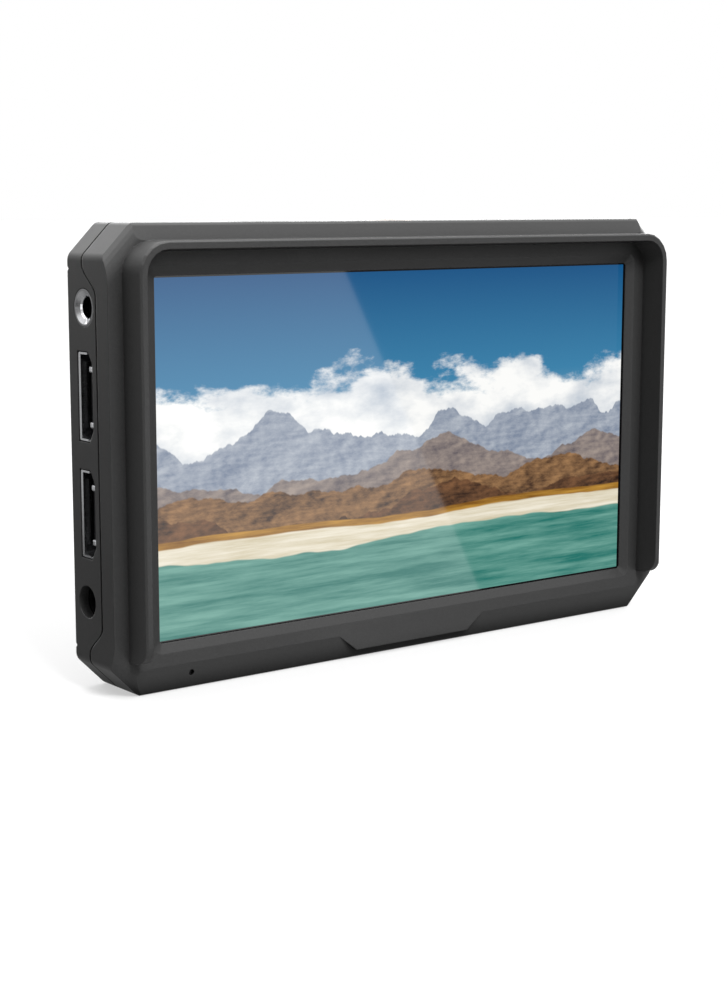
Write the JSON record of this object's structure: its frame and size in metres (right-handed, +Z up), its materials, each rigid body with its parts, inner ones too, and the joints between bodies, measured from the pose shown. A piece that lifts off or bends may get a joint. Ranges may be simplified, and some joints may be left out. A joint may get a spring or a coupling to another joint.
{
  "type": "camera field monitor",
  "caption": "Wide-screen field monitor for a camera: faceted two-part plastic housing with a moulded sun hood, side sockets, threaded bushes and a battery plate behind.",
  "frame": {"origin": "mouth of the lower tripod thread, in the middle of the bottom face", "axes": "+X to the viewer's right along the width, +Y away from the viewer through the housing, +Z up"},
  "size_m": [0.13, 0.0275, 0.0807],
  "materials": {
    "housing_plastic": "fine moulded texture, satin black",
    "foam": "black closed-cell foam",
    "screen_film": "glossy film over a lit picture",
    "panel_glass": "polished, dark",
    "light_guide": "white sheet",
    "tray_steel": "plated sheet steel",
    "film_circuit": "amber polyimide",
    "circuit_board": "green solder mask",
    "connector_plastic": "natural nylon",
    "chip_plastic": "black moulded package",
    "heat_pad": "soft silicone pad",
    "heat_sink": "anodised, extruded",
    "socket_plastic": "moulded, dark",
    "collar_chrome": "polished nickel",
    "shell_steel": "tin-plated sheet steel",
    "pin_metal": "nickel-plated pin",
    "bush_brass": "turned brass",
    "light_pipe": "clear smoked plastic",
    "lamp": "lamp package",
    "speaker": "black frame and cone",
    "key_plastic": "moulded, dark grey",
    "power_key_plastic": "moulded, light grey",
    "switch_metal": "stamped cover",
    "plunger_plastic": "moulded",
    "plate_plastic": "fine moulded texture",
    "catch_plastic": "moulded, slightly glossy",
    "spring_steel": "spring wire",
    "contact_metal": "gold-plated blade",
    "lead": "insulated wire",
    "black_screw": "black zinc",
    "zinc_screw": "zinc-plated"
  },
  "bodies": {
    "housing": {"front_housing": "housing_plastic", "rear_housing": "housing_plastic", "screen_gasket": "foam", "front_polariser": "screen_film", "display_glass": "panel_glass", "backlight_unit": "light_guide", "panel_tray": "tray_steel", "display_flex": "film_circuit", "main_board": "circuit_board", "board_connectors": "connector_plastic", "video_processor": "chip_plastic", "thermal_pad": "heat_pad", "heat_sink": "heat_sink", "headphone_socket": "socket_plastic", "headphone_collar": "collar_chrome", "video_in_shell": "shell_steel", "video_in_tongue": "socket_plastic", "video_out_shell": "shell_steel", "video_out_tongue": "socket_plastic", "power_socket": "socket_plastic", "power_centre_pin": "pin_metal", "upper_thread_bush": "bush_brass", "lower_thread_bush": "bush_brass", "indicator_light_pipe": "light_pipe", "indicator_led": "lamp", "loudspeaker": "speaker", "loudspeaker_foam": "foam", "keyboard_board": "circuit_board", "tact_switches": "switch_metal", "battery_plate": "plate_plastic", "catch_spring": "spring_steel", "contact_block": "socket_plastic", "contact_blades": "contact_metal", "battery_lead": "lead", "housing_screws": "black_screw", "board_screws": "zinc_screw", "keyboard_screws": "zinc_screw", "plate_screws": "black_screw"},
    "power_key": {"power_key": "power_key_plastic", "power_plunger": "plunger_plastic"},
    "input_key": {"input_key": "key_plastic", "input_plunger": "plunger_plastic"},
    "menu_key": {"menu_key": "key_plastic", "menu_plunger": "plunger_plastic"},
    "up_key": {"up_key": "key_plastic", "up_plunger": "plunger_plastic"},
    "down_key": {"down_key": "key_plastic", "down_plunger": "plunger_plastic"},
    "exit_key": {"exit_key": "key_plastic", "exit_plunger": "plunger_plastic"},
    "battery_catch": {"battery_catch": "catch_plastic"}
  },
  "joints": [
    {"name": "power_press", "type": "slide", "parent": "housing", "child": "power_key", "axis": [0, -1, 0], "range_m": [0, 0.0005], "stiffness_N_per_m": 400},
    {"name": "input_press", "type": "slide", "parent": "housing", "child": "input_key", "axis": [0, -1, 0], "range_m": [0, 0.0005], "stiffness_N_per_m": 400},
    {"name": "menu_press", "type": "slide", "parent": "housing", "child": "menu_key", "axis": [0, -1, 0], "range_m": [0, 0.0005], "stiffness_N_per_m": 400},
    {"name": "up_press", "type": "slide", "parent": "housing", "child": "up_key", "axis": [0, -1, 0], "range_m": [0, 0.0005], "stiffness_N_per_m": 400},
    {"name": "down_press", "type": "slide", "parent": "housing", "child": "down_key", "axis": [0, -1, 0], "range_m": [0, 0.0005], "stiffness_N_per_m": 400},
    {"name": "exit_press", "type": "slide", "parent": "housing", "child": "exit_key", "axis": [0, -1, 0], "range_m": [0, 0.0005], "stiffness_N_per_m": 400},
    {"name": "catch_press", "type": "slide", "parent": "housing", "child": "battery_catch", "axis": [0, -1, 0], "range_m": [0, 0.0017], "stiffness_N_per_m": 300, "deforming": ["catch_spring"]}
  ]
}
